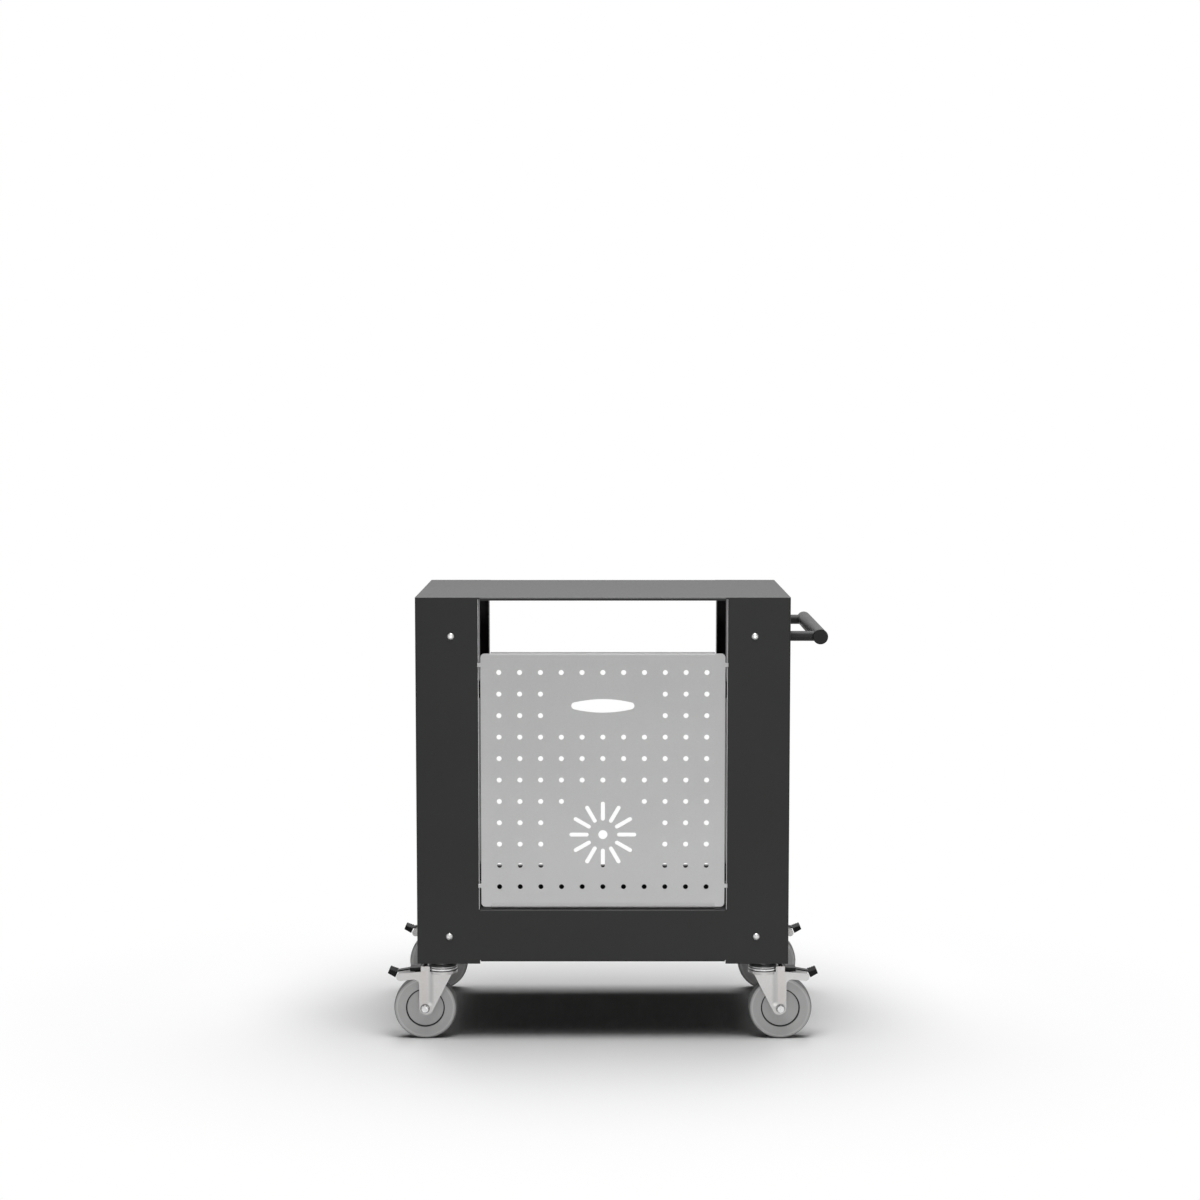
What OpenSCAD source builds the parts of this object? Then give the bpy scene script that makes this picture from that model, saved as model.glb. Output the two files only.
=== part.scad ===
// Outdoor oven table: a folded steel table on four braked swivel casters, with a push handle
// on its right side and a perforated front panel that pulls off forwards.
// The front faces -Y and +Z is up. The origin lies on the floor, at the middle of the overall
// width and depth, with the handle on +X.

/* [Table] */
// Width over the end frames
table_w = 737; // [700:1:800]
// Depth over the front and rear frames
table_d = 440; // [420:5:520]
// Height of the worktop above the floor
table_h = 886; // [850:2:940]
// Radius inside the folds of the frame, the worktop, the rails and the shelf
fold_in_r = 0.8; // [0.5:0.1:1.5]

/* [Worktop] */
// Thickness of the worktop sheet
top_t = 3; // [2:0.5:4]
// Depth of the lips at the front and rear, sheet included
lip_h = 6; // [5:0.5:12]
// Gap between the ends of a lip and the legs
lip_gap = 2; // [1:0.5:4]
// Radius of the threaded studs below the worktop
stud_r = 3; // [2.5:0.5:4]
// Length of the studs below the worktop
stud_l = 14; // [12:1:18]
// Studs along each side
stud_count = 3; // [2:1:5]
// Distance from the first stud to the last
stud_span = 300; // [240:10:340]

/* [Worktop stiffener] */
// Thickness of the stiffener sheet
stiff_t = 2; // [1.5:0.5:2.5]
// Depth of the stiffener below the worktop
stiff_h = 18; // [14:1:24]
// Width of the stiffener's channel
stiff_w = 50; // [40:2:70]
// Width of each brim against the worktop
stiff_brim = 15; // [10:1:20]
// Gap between the stiffener and the flanges of the side panels
stiff_end_gap = 5; // [2:1:10]

/* [End frames] */
// Thickness of the end frame sheet
frame_t = 2.5; // [2:0.5:3]
// Width of a leg face
leg_w = 125; // [115:1:135]
// Depth of the folded edge on the outside of a leg
leg_return = 25; // [20:1:32]
// Depth of the folded edge on the inside of a leg
leg_flange = 40; // [34:1:50]
// Height of the lower bar
bar_h = 105.5; // [90:0.5:120]
// Height of the lower bar above the foot of the legs
bar_rise = 4; // [3:0.5:8]
// Depth of the folded edges of the lower bar
bar_flange = 22; // [16:1:28]
// Width of the slits where two folds meet
relief = 1; // [0.8:0.1:2]

/* [Side panels] */
// Thickness of the side panel sheet
side_t = 2; // [1.5:0.5:2.5]
// Width of the folded edges behind the leg faces
side_return = 85; // [78:1:95]
// Width of the folded edge below the worktop
side_flange = 25; // [22:1:30]

/* [Foot rails and shelf] */
// Thickness of the rail sheet
rail_t = 3; // [2.5:0.5:4]
// Width of a rail
rail_w = 86; // [82:1:92]
// Height of the rail's long edges, which carry the shelf
rail_h = 28; // [26:1:34]
// Height of the rail's end tabs, which the lower screws hold
rail_tab_h = 73; // [68:1:80]
// Thickness of the shelf sheet
shelf_t = 2; // [1.5:0.5:2.5]
// Height of the shelf's folded edges
shelf_h = 14; // [10:1:15]
// Gap round the shelf
shelf_gap = 1; // [0.5:0.5:2]

/* [Frame screws] */
// Radius of the screw shanks
screw_r = 4; // [3:0.5:5]
// Radius of the button heads
screw_head_r = 7; // [6:0.5:8]
// Height of the button heads
screw_head_h = 4.4; // [3.5:0.1:5]
// Width across the flats of the hexagon sockets
socket_af = 5; // [4:0.5:5]
// Depth of the hexagon sockets
socket_d = 2.6; // [2:0.1:3]
// Length of the frame screws' shanks
screw_l = 16; // [15:1:20]
// Clearance round a screw in its hole
screw_gap = 0.3; // [0.2:0.1:0.6]
// Width across the flats of the nuts
nut_af = 13; // [12:0.5:15]
// Thickness of the nuts
nut_t = 6.5; // [5:0.5:7]
// Distance from a leg's outer face to its upper screw
screw_inset = 70; // [56:0.5:75]
// Distance from a leg's outer face to its lower screw
low_screw_inset = 64; // [56:0.5:75]
// Distance from the underside of the worktop to the upper screws
screw_drop = 73.5; // [60:0.5:90]
// Distance from the foot of the legs to the lower screws
screw_rise = 54.5; // [50:0.5:60]

/* [Front panel] */
// Thickness of the panel sheet
panel_t = 2; // [1.5:0.5:2.5]
// Height of the open gap between the worktop and the panel
door_gap = 107; // [80:0.1:140]
// Gap between the panel and each leg
panel_gap = 3; // [1.5:0.5:4]
// Gap between the panel and the lower bar
panel_floor_gap = 2; // [0.3:0.1:3]
// Outer radius of the fold along its bottom
panel_fold_r = 13; // [8:1:18]
// Outer radius of the fold along its top
panel_top_r = 4; // [3:0.5:14]
// Depth of the folded edges
panel_flange = 25; // [20:1:32]
// Width of the unfolded ears at its corners
ear_w = 19.5; // [15:0.5:24]
// Corner radius of the ears
ear_r = 8; // [5:0.5:12]
// Distance from the top of the fold to the top of the ears
ear_drop = 0.4; // [0.2:0.2:6]
// Distance from the bottom of the fold to the bottom of the ears
ear_rise = 3.8; // [3:0.1:10]
// Height of the side tabs
tab_h = 8; // [6:0.5:12]
// Reach of the side tabs into the legs
tab_reach = 3; // [2:0.5:4]
// Clearance round a side tab in its notch
tab_gap = 0.7; // [0.5:0.1:1.2]
// Distance from the panel's top to the upper tabs
tab_drop = 22.7; // [20:0.1:40]
// Distance from the panel's bottom to the lower tabs
tab_rise = 45.8; // [38:0.1:60]

/* [Panel openings] */
// Diameter of the round holes
hole_d = 10; // [7:0.5:12]
// Spacing of the holes across the panel
hole_pitch_x = 40.9; // [34:0.1:48]
// Spacing of the holes up the panel
hole_pitch_z = 42.7; // [34:0.1:48]
// Distance from the panel's top to the first row
hole_drop = 37.7; // [32:0.1:48]
// Least distance from the holes to the panel's sides
hole_side = 30; // [28:1:36]
// Least distance from the holes to the panel's bottom
hole_rise = 40; // [34:1:46]
// Length of the hand slot
slot_l = 124; // [100:2:140]
// Height of the hand slot
slot_h = 27; // [22:1:34]
// Radius at the ends of the hand slot
slot_end_r = 7; // [5:0.5:9]
// Distance from the panel's top to the middle of the hand slot
slot_drop = 103.7; // [95:0.1:120]
// Plain border left beside the hand slot
slot_border_x = 25; // [18:1:30]
// Plain border left above and below the hand slot
slot_border_z = 15; // [12:1:18]
// Height of the vent's centre above the panel's bottom
vent_rise = 148.3; // [140:0.1:170]
// Slots in the round vent
vent_count = 12; // [8:1:14]
// Outer radius of the vent
vent_r = 66; // [56:1:76]
// Inner radius of the vent's slots
vent_in_r = 28; // [24:1:36]
// Width of the vent's slots
vent_slot_w = 8; // [5:0.5:9]
// Radius of the hole in the middle of the vent
vent_hole_r = 9; // [6:0.5:12]
// Radius of the plain field round the vent
vent_clear_r = 104; // [96:1:112]

/* [Magnetic catches] */
// Width of a catch
catch_w = 13; // [10:1:16]
// Depth of a catch
catch_d = 26; // [20:1:30]
// Height of a catch
catch_h = 34; // [28:1:44]
// Gap between a catch and the panel
catch_gap = 0.4; // [0.3:0.1:1]
// Distance from the panel's top and bottom to the middle of the nearest catch
catch_inset = 72; // [70:1:90]
// Radius of the edges of a catch
catch_edge_r = 2; // [1:0.5:3]

/* [Push handle] */
// Radius of the handle bar
grip_r = 15; // [12:0.5:18]
// Wall thickness of the handle bar
grip_wall = 2; // [1.5:0.5:3]
// Distance from the table's front and rear faces to the ends of the bar
grip_inset = 30; // [20:5:60]
// Distance from the leg's outer face to the middle of the bar
grip_reach = 61.5; // [52:0.5:75]
// Distance from the worktop down to the middle of the bar
grip_drop = 80.5; // [60:0.5:110]
// Radius of the handle arms
arm_r = 10; // [7:0.5:12]
// Distance from the end of the bar to the middle of an arm
arm_inset = 20; // [16:1:30]
// Length of the screws into the handle arms
arm_screw_l = 20; // [15:1:25]
// Thickness of the cap that shows at the end of the bar
cap_t = 3; // [2:0.5:5]
// Length of the cap's plug inside the bar
cap_plug = 12; // [8:1:18]
// Radius of the cap's outer edge
cap_edge_r = 1.5; // [0.5:0.5:1.5]

/* [Wheels] */
// Diameter of the wheels
wheel_d = 125; // [115:1:135]
// Width of the tyres
tyre_w = 32; // [28:1:36]
// Radius of the tyre's shoulders
shoulder_r = 6; // [4:0.5:9]
// Radius where the tyre meets the hub
hub_r = 37.5; // [34:0.5:42]
// Width of the groove between tyre and hub
ring_w = 2.5; // [1.5:0.5:3]
// Depth of the groove between tyre and hub
ring_d = 4; // [2:0.5:5]
// Distance from the tyre's side to the hub's disc
hub_recess = 2.5; // [1.5:0.5:4]
// Radius of the hub's boss
boss_r = 12; // [10:0.5:15]
// Radius of the axle inside the hub
axle_r = 6; // [5:0.5:7]
// Running clearance round axles and pins
run_gap = 0.05; // [0.03:0.01:0.08]
// Gap between the hub's boss and each cheek
boss_gap = 0.4; // [0.3:0.1:0.8]
// Radius of the axle bolt's threaded ends
axle_end_r = 4; // [3.5:0.5:4.5]
// Radius of the axle bolt's flange
axle_flange_r = 8.5; // [8:0.5:10]
// Thickness of the axle bolt's flange
axle_flange_t = 1.6; // [1:0.2:2]
// Height of the axle bolt's hexagon
axle_head_h = 5.3; // [4:0.1:6]

/* [Caster forks] */
// Distance from the king pin to the axle
trail = 33.5; // [31:0.5:36]
// Gap between the tyre and each cheek
wheel_side_gap = 3.5; // [3:0.5:5]
// Thickness of the cheeks
cheek_t = 2.5; // [2:0.5:3]
// Gap between the tyre and the crown
crown_gap = 7; // [6:0.5:9]
// Thickness of the crown
crown_t = 6; // [5:0.5:8]
// Radius of the crown
crown_r = 30; // [28:0.5:31]
// Distance from the king pin to the cheeks' inner corners
cheek_back = 22; // [18:0.5:24]
// Radius of the rounded end of the cheeks
cheek_end_r = 14; // [12:0.5:15]
// Distance from the axle inwards to the middle of the rounded end
cheek_end_shift = 2.5; // [1:0.5:4]
// Distance from the axle up to the middle of the rounded end
cheek_end_rise = 1.5; // [0:0.5:3]
// Radius of the fillet under the cheeks' arms
armpit_r = 11; // [9:0.5:13]
// Distance from the crown's top to the underside of the arms
armpit_drop = 16.5; // [14:0.5:18]
// Distance from the axle out to the rounded end of the arms
lobe_reach = 49.5; // [44:0.5:54]
// Distance from the crown's top down to the middle of the rounded end of the arms
lobe_drop = 12; // [11:0.5:14]
// Radius of the rounded end of the arms
lobe_r = 7.5; // [6:0.5:9]

/* [Caster heads] */
// Radius of the swivel head
head_r = 29.5; // [27.5:0.5:30.5]
// Height of the swivel head
head_h = 16; // [14:0.5:19]
// Height of the swivel head's rim
rim_h = 7; // [6:0.5:8]
// Gap between the crown and the head's rim
race_gap = 2; // [1.5:0.5:3]
// Height of the raised middle that the rail rests on
plateau_h = 4; // [3:0.5:5]
// Radius of the raised middle
plateau_r = 15; // [13:0.5:18]
// Diameter of the bearing balls
ball_d = 6; // [5:0.5:6]
// Radius of the ring of balls
ball_ring_r = 23; // [21.5:0.5:23]
// Balls in each caster
ball_count = 16; // [12:1:18]
// Clearance round the balls
ball_gap = 0.3; // [0.2:0.1:0.4]
// Radius of the king pin
pin_r = 9; // [8:0.5:10]
// Radius of the king pin's lower flange
pin_flange_r = 14; // [12:0.5:16]
// Thickness of the king pin's lower flange
pin_flange_t = 3; // [2:0.5:3.5]
// Gap between the lower flange and the crown
pin_flange_gap = 0.3; // [0.2:0.1:0.6]
// Radius of the threaded stem
stem_r = 6; // [5:0.5:7]
// Clearance round the stem in the rail
stem_gap = 0.5; // [0.3:0.1:0.8]
// Radius of the stem's washer
washer_r = 14; // [12.5:0.5:16]
// Thickness of the stem's washer
washer_t = 2.5; // [1.5:0.5:3]
// Width across the flats of the stem's nut
stem_nut_af = 19; // [17:0.5:21]
// Thickness of the stem's nut
stem_nut_t = 10; // [8:0.5:11]
// Thread that stands out of a nut
thread_out = 2.5; // [1.5:0.5:4]

/* [Brakes] */
// Distance from the king pin to the brake lever's pivot
pivot_x = 36; // [35.5:0.5:38]
// Height of the brake lever's pivot above the crown
pivot_rise = 5.5; // [5.5:0.5:7]
// Reach of the lugs from the pivot pin towards the king pin
lug_in = 12.5; // [8:0.5:13]
// Reach of the lugs from the pivot pin outwards
lug_out = 5.5; // [5:0.5:7]
// Height of the lugs above the pivot pin
lug_rise = 4.5; // [4:0.5:5]
// Radius of the lugs' upper corners
lug_r = 2; // [1:0.5:3]
// Radius of the pivot pin
brake_pin_r = 2.5; // [2:0.5:3]
// Radius of the pivot pin's heads
brake_pin_head_r = 4; // [3.5:0.5:5]
// Thickness of the pivot pin's heads
brake_pin_head_t = 1.2; // [0.8:0.2:2]
// Radius of the lever's barrel
barrel_r = 4.8; // [4.2:0.2:5]
// Gap between the lever's barrel and each cheek
barrel_gap = 0.6; // [0.4:0.1:1]
// Length of the lever's block
block_l = 18; // [14:1:22]
// Height of the lever's block
block_h = 7.5; // [6:0.5:10]
// Width of the lever's block
block_w = 24; // [18:1:28]
// Distance from the pivot out to the block
block_out = 10; // [8:0.5:11]
// Distance from the pivot down to the block's top
block_drop = 0.8; // [0:0.2:4]
// Length of the brake shoe along the tyre
shoe_l = 8; // [6:0.5:10]
// Width of the brake shoe
shoe_w = 16; // [12:1:20]
// Gap between the shoe and the tyre's top height
shoe_gap = 2.5; // [2.3:0.1:3.5]
// Thickness of the lever's steel arm
lever_t = 2.5; // [2:0.5:3]
// Width of the lever's steel arm
lever_w = 14; // [10:1:18]
// Length of the lever's steel arm beyond the block
lever_l = 35; // [30:1:38]
// Slope of the lever's steel arm in degrees
lever_slope = 10; // [6:1:12]
// Length of the pedal
pedal_l = 17; // [14:1:20]
// Thickness of the pedal where the arm enters it
pedal_t = 11; // [9:0.5:13]
// Thickness of the pedal at its outer end
pedal_tip_t = 8; // [6:0.5:10]
// Width of the pedal
pedal_w = 32; // [24:1:36]
// Tilt of the pedal in degrees
pedal_tilt = 25; // [18:1:32]
// Ribs across the pedal
rib_count = 4; // [3:1:6]
// Height of the pedal's ribs
rib_h = 1; // [0.6:0.2:1.6]

/* [Hidden] */
CORNERS = [["front_left", -1, -1], ["front_right", 1, -1], ["rear_left", -1, 1], ["rear_right", 1, 1]];
CASTER_PARTS = [
    "head", "king_pin", "fork", "axle_bolt", "hub", "tyre", "brake_pin", "brake_lever", "brake_pedal"
];

$fn = 64;
// How far a cut runs past the solid it cuts
over = 1;
// How far the ends of a fold run into the flats beside it
seam = 0.4;
half_w = table_w / 2;
half_d = table_d / 2;
top_z0 = table_h - top_t;

// Heights through a caster, from the floor up
wheel_r = wheel_d / 2;
crown_z0 = wheel_d + crown_gap;
crown_z1 = crown_z0 + crown_t;
head_z0 = crown_z1 + race_gap;
foot_z = head_z0 + head_h;

// Folds and the openings between the legs
frame_r = frame_t + fold_in_r;
side_r = side_t + fold_in_r;
door_half = half_w - leg_w;
bar_z0 = foot_z + bar_rise;
bar_z1 = bar_z0 + bar_h;

// Side panels lie inside the end frames, and the rails inside the side panels
side_x = half_w - frame_t;
side_y = half_d - frame_t;
rail_x1 = side_x - side_t;
rail_y1 = side_y - side_t;
rail_x = rail_x1 - rail_w / 2;
shelf_z0 = foot_z + rail_h;

// Screws in the end frames
screw_low = [half_w - low_screw_inset, foot_z + screw_rise];
screw_high = [half_w - screw_inset, top_z0 - screw_drop];
hole_r = screw_r + screw_gap;

// Front panel
panel_z0 = bar_z1 + panel_floor_gap;
panel_z1 = top_z0 - door_gap;
panel_h = panel_z1 - panel_z0;
panel_half = door_half - panel_gap;
fold_half = panel_half - ear_w;
tab_z = [panel_z0 + tab_rise, panel_z1 - tab_drop];
hole_columns = floor((panel_half - hole_side) / hole_pitch_x);
hole_rows = floor((panel_h - hole_drop - hole_rise) / hole_pitch_z);
slot_z = panel_z1 - slot_drop;
vent_z = panel_z0 + vent_rise;
catch_z = [panel_z0 + catch_inset, panel_z1 - catch_inset];

// Handle
grip_l = table_d - 2 * grip_inset;
grip_x = half_w + grip_reach;
grip_z = table_h - grip_drop;
arm_y = grip_l / 2 - arm_inset;

// Casters stand under the middle of the rails
caster_y = rail_y1 - head_r + side_t;
cheek_y = tyre_w / 2 + wheel_side_gap;
cheek_out = cheek_y + cheek_t;
pivot_z = crown_z1 + pivot_rise;
ball_z = crown_z1 + ball_gap + ball_d / 2;
stem_top = foot_z + rail_t + washer_t + stem_nut_t + thread_out;

// The handle and the pedals reach out unequally, so the origin lies beside the table's middle
pedal_mid_x = pivot_x + block_out + block_l + lever_l * cos(lever_slope);
pedal_reach = pedal_l / 2 * cos(pedal_tilt) + pedal_tip_t / 2 * sin(pedal_tilt);
left_end = rail_x + pedal_mid_x + pedal_reach;
middle_x = (grip_x + grip_r - left_end) / 2;

// Corner of a fold in a sheet of thickness t and outer radius r, centred on its own axis
module fold(r, t) {
    intersection() {
        difference() {
            circle(r = r);
            circle(r = r - t);
        }
        square(r + over);
    }
    translate([-seam, r - t]) square([seam, t]);
    translate([r - t, -seam]) square([t, seam]);
}

// Section of a folded sheet: a face of width w along x, with edges of depth d1 and d2 along +y.
// A depth of zero leaves that edge plain. The second fold has radius r2 where one is given.
module folded(w, d1, d2, t, r, r2 = 0) {
    end_r = r2 > 0 ? r2 : r;
    x0 = d1 > 0 ? r : 0;
    x1 = d2 > 0 ? w - end_r : w;
    translate([x0, 0]) square([x1 - x0, t]);
    if (d1 > 0) {
        translate([0, r]) square([t, d1 - r]);
        translate([r, r]) rotate(180) fold(r, t);
    }
    if (d2 > 0) {
        translate([w - t, end_r]) square([t, d2 - end_r]);
        translate([w - end_r, end_r]) rotate(-90) fold(end_r, t);
    }
}

// Folded section whose face stands along y, with its edges along +x
module folded_up(w, d1, d2, t, r, r2 = 0) {
    mirror([1, -1]) folded(w, d1, d2, t, r, r2);
}

// Rectangle with round corners, centred on the origin
module round_rect(w, h, r) {
    square([w - 2 * r, h], center = true);
    square([w, h - 2 * r], center = true);
    for (x = [-1, 1], y = [-1, 1]) translate([x * (w / 2 - r), y * (h / 2 - r)]) circle(r = r);
}

// Sweeps a section drawn in y and z along x, centred on x = 0
module along_x(length) {
    rotate([90, 0, 90]) translate([0, 0, -length / 2]) linear_extrude(length) children();
}

// Sweeps a section drawn in x and z along y, centred on y = 0
module along_y(length) {
    rotate([90, 0, 0]) translate([0, 0, -length / 2]) linear_extrude(length) children();
}

// Round bar along y between two places
module bar_y(r, y0, y1) {
    translate([0, y0, 0]) rotate([-90, 0, 0]) cylinder(h = y1 - y0, r = r);
}

// Hexagon prism of the given width across flats, standing on z = 0
module hexagon(af, h) {
    cylinder(h = h, r = af / 2 / cos(30), $fn = 6);
}

// Pan of folded sheet: its floor lies on z = 0, its x edges rise by hx and its y edges by hy
module pan(wx, wy, hx, hy, t) {
    r = t + fold_in_r;
    along_x(wx - 2 * (r + relief)) translate([-wy / 2, 0]) folded(wy, hy, hy, t, r);
    along_y(wy - 2 * (r + relief)) translate([-wx / 2, 0]) folded(wx, hx, hx, t, r);
}

// Button-head screw along +z, with the underside of its head on z = 0
module button_screw(length) {
    dome_r = (screw_head_r * screw_head_r + screw_head_h * screw_head_h) / (2 * screw_head_h);
    cylinder(h = length, r = screw_r);
    difference() {
        intersection() {
            translate([0, 0, dome_r - screw_head_h]) sphere(r = dome_r);
            translate([0, 0, -screw_head_h]) cylinder(h = screw_head_h, r = screw_head_r);
        }
        translate([0, 0, -screw_head_h - over]) hexagon(socket_af, socket_d + over);
    }
}

// Hexagon nut on a thread of radius r, standing on z = 0
module nut(af, t, r) {
    difference() {
        hexagon(af, t);
        translate([0, 0, -over]) cylinder(h = t + 2 * over, r = r + run_gap);
    }
}

// Places of the frame screws: side, end and height
module at_frame_screws() {
    for (end = [0, 180], side = [-1, 1], spot = [screw_low, screw_high])
        rotate(end) translate([side * spot[0], -half_d, spot[1]]) rotate([-90, 0, 0]) children();
}

// Places of the worktop's studs on both sides
module at_studs() {
    step = stud_span / (stud_count - 1);
    for (side = [-1, 1], i = [0 : stud_count - 1])
        translate([side * (side_x - side_flange / 2), i * step - stud_span / 2, 0]) children();
}

// Middle of each king pin, on the floor, with the trail pointing away from the table
module at_corner(corner) {
    translate([corner[1] * rail_x, corner[2] * caster_y, 0]) rotate(corner[1] > 0 ? 0 : 180) children();
}

// Leg of the front frame on the right, with its inner edge folded above the lower bar
module leg() {
    translate([door_half, -half_d, bar_z1]) linear_extrude(top_z0 - bar_z1)
        folded(leg_w, leg_flange, leg_return, frame_t, frame_r);
    translate([door_half, -half_d, foot_z]) linear_extrude(bar_z1 - foot_z)
        folded(leg_w, 0, leg_return, frame_t, frame_r);
}

// One end of the table: two legs and the lower bar, folded from one sheet
module end_frame() {
    bar_l = 2 * (door_half - relief);
    tab_cut = tab_reach + tab_gap;
    difference() {
        union() {
            leg();
            mirror([1, 0, 0]) leg();
            along_x(bar_l) translate([-half_d, bar_z0])
                folded_up(bar_h, bar_flange, bar_flange, frame_t, frame_r);
            translate([-door_half, -half_d, bar_z0 + frame_r])
                cube([2 * door_half, frame_t, bar_h - 2 * frame_r]);
        }
        for (side = [-1, 1], spot = [screw_low, screw_high])
            translate([side * spot[0], -half_d, spot[1]]) rotate([-90, 0, 0])
                translate([0, 0, -over]) cylinder(h = frame_t + 2 * over, r = hole_r);
        for (side = [-1, 1], z = tab_z)
            translate([side * (door_half + tab_cut / 2 - over / 2), -half_d + panel_t / 2, z])
                cube([tab_cut + over, panel_t + 2 * over, tab_h + 2 * tab_gap], center = true);
    }
}

module front_frame() {
    color([0.22, 0.22, 0.23]) end_frame();
}

module rear_frame() {
    color([0.22, 0.22, 0.23]) rotate(180) end_frame();
}

// Right side panel: a wall whose edges fold behind the leg faces and below the worktop
module side_wall() {
    wall_h = top_z0 - foot_z;
    fold_l = 2 * (side_y - side_r - relief);
    difference() {
        union() {
            difference() {
                translate([side_x, -side_y, foot_z]) linear_extrude(wall_h) mirror([1, 0])
                    folded_up(2 * side_y, side_return, side_return, side_t, side_r);
                translate([side_x - side_t - over, -fold_l / 2, top_z0 - side_r])
                    cube([side_t + 2 * over, fold_l, side_r + over]);
            }
            along_y(fold_l) translate([side_x - side_flange, top_z0]) mirror([0, 1])
                folded(side_flange, 0, 2 * side_r, side_t, side_r);
        }
        for (end = [-1, 1], spot = [screw_low, screw_high])
            translate([spot[0], end * side_y, spot[1]]) rotate([90, 0, 0])
                cylinder(h = 2 * (side_t + over), r = hole_r, center = true);
        at_studs() translate([0, 0, top_z0 - side_t - over])
            cylinder(h = side_t + 2 * over, r = stud_r + screw_gap);
    }
}

module left_side_panel() {
    color([0.24, 0.24, 0.25]) mirror([1, 0, 0]) side_wall();
}

module right_side_panel() {
    color([0.24, 0.24, 0.25]) difference() {
        side_wall();
        for (y = [-arm_y, arm_y]) translate([side_x, y, grip_z]) rotate([0, 90, 0])
            cylinder(h = 2 * (side_t + over), r = hole_r, center = true);
    }
}

// Rail on the right that joins the two end frames and carries two casters
module foot_rail() {
    difference() {
        translate([rail_x, 0, foot_z]) pan(rail_w, 2 * rail_y1, rail_h, rail_tab_h, rail_t);
        for (end = [-1, 1]) {
            translate([screw_low[0], end * rail_y1, screw_low[1]]) rotate([90, 0, 0])
                cylinder(h = 2 * (rail_t + over), r = hole_r, center = true);
            translate([rail_x, end * caster_y, foot_z - over])
                cylinder(h = rail_t + 2 * over, r = stem_r + stem_gap);
        }
    }
}

module left_foot_rail() {
    color([0.2, 0.2, 0.21]) mirror([1, 0, 0]) foot_rail();
}

module right_foot_rail() {
    color([0.2, 0.2, 0.21]) foot_rail();
}

module lower_shelf() {
    color([0.24, 0.24, 0.25]) translate([0, 0, shelf_z0])
        pan(2 * (rail_x1 - shelf_gap), 2 * (rail_y1 - rail_t - shelf_gap), shelf_h, shelf_h, shelf_t);
}

// Worktop with lips between the legs and studs above the side panels' flanges
module worktop() {
    lip_half = door_half - lip_gap;
    color([0.25, 0.25, 0.26]) {
        translate([0, 0, top_z0]) linear_extrude(top_t) difference() {
            round_rect(table_w, table_d, frame_r);
            for (side = [-1, 1]) translate([0, side * half_d])
                square([2 * lip_half, 2 * (top_t + fold_in_r)], center = true);
        }
        along_x(2 * lip_half) translate([-half_d, table_h]) mirror([0, 1])
            folded(table_d, lip_h, lip_h, top_t, top_t + fold_in_r);
        at_studs() translate([0, 0, top_z0 - stud_l]) cylinder(h = stud_l + top_t / 2, r = stud_r);
    }
}

// Hat channel welded across the underside of the worktop
module worktop_stiffener() {
    length = 2 * (side_x - side_flange - stiff_end_gap);
    color([0.24, 0.24, 0.25]) along_x(length) translate([0, top_z0 - stiff_h]) {
        translate([-stiff_w / 2, 0]) folded(stiff_w, stiff_h, stiff_h, stiff_t, stiff_t + fold_in_r);
        for (side = [-1, 1])
            translate([side * (stiff_w + stiff_brim - stiff_t) / 2, stiff_h - stiff_t / 2])
                square([stiff_brim + stiff_t, stiff_t], center = true);
    }
}

module frame_screws() {
    color([0.78, 0.78, 0.8]) at_frame_screws() button_screw(screw_l);
}

module frame_nuts() {
    color([0.7, 0.7, 0.72]) for (end = [0, 180], side = [-1, 1]) {
        rotate(end) translate([side * screw_high[0], -rail_y1, screw_high[1]]) rotate([-90, 0, 0])
            nut(nut_af, nut_t, screw_r);
        rotate(end) translate([side * screw_low[0], -rail_y1 + rail_t, screw_low[1]]) rotate([-90, 0, 0])
            nut(nut_af, nut_t, screw_r);
    }
}

module worktop_nuts() {
    stud_nut_t = 2 * stud_r;
    color([0.7, 0.7, 0.72]) at_studs() translate([0, 0, top_z0 - side_t - stud_nut_t])
        nut(4 * stud_r, stud_nut_t, stud_r);
}

module caster_washers() {
    color([0.75, 0.75, 0.77]) for (corner = CORNERS) at_corner(corner)
        translate([0, 0, foot_z + rail_t]) difference() {
            cylinder(h = washer_t, r = washer_r);
            translate([0, 0, -over]) cylinder(h = washer_t + 2 * over, r = stem_r + screw_gap);
        }
}

module caster_nuts() {
    color([0.7, 0.7, 0.72]) for (corner = CORNERS) at_corner(corner)
        translate([0, 0, foot_z + rail_t + washer_t]) nut(stem_nut_af, stem_nut_t, stem_r);
}

module caster_balls() {
    color([0.8, 0.8, 0.82]) for (corner = CORNERS) at_corner(corner) for (i = [1 : ball_count])
        rotate(i * 360 / ball_count) translate([ball_ring_r, 0, ball_z]) sphere(d = ball_d);
}

module handle_bar() {
    tube_half = grip_l / 2 - cap_t;
    color([0.3, 0.3, 0.31]) translate([grip_x, 0, grip_z]) difference() {
        bar_y(grip_r, -tube_half, tube_half);
        bar_y(grip_r - grip_wall, -tube_half - over, tube_half + over);
    }
}

// Arm from the right side panel to the bar, coped round the bar and bored for its screw
module handle_arm(y) {
    color([0.28, 0.28, 0.29]) difference() {
        translate([side_x, y, grip_z]) rotate([0, 90, 0]) cylinder(h = grip_x - side_x, r = arm_r);
        translate([grip_x, y, grip_z]) bar_y(grip_r, -arm_r - over, arm_r + over);
        translate([side_x - over, y, grip_z]) rotate([0, 90, 0])
            cylinder(h = arm_screw_l + over, r = screw_r + run_gap);
    }
}

module handle_arm_front() {
    handle_arm(-arm_y);
}

module handle_arm_rear() {
    handle_arm(arm_y);
}

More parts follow.
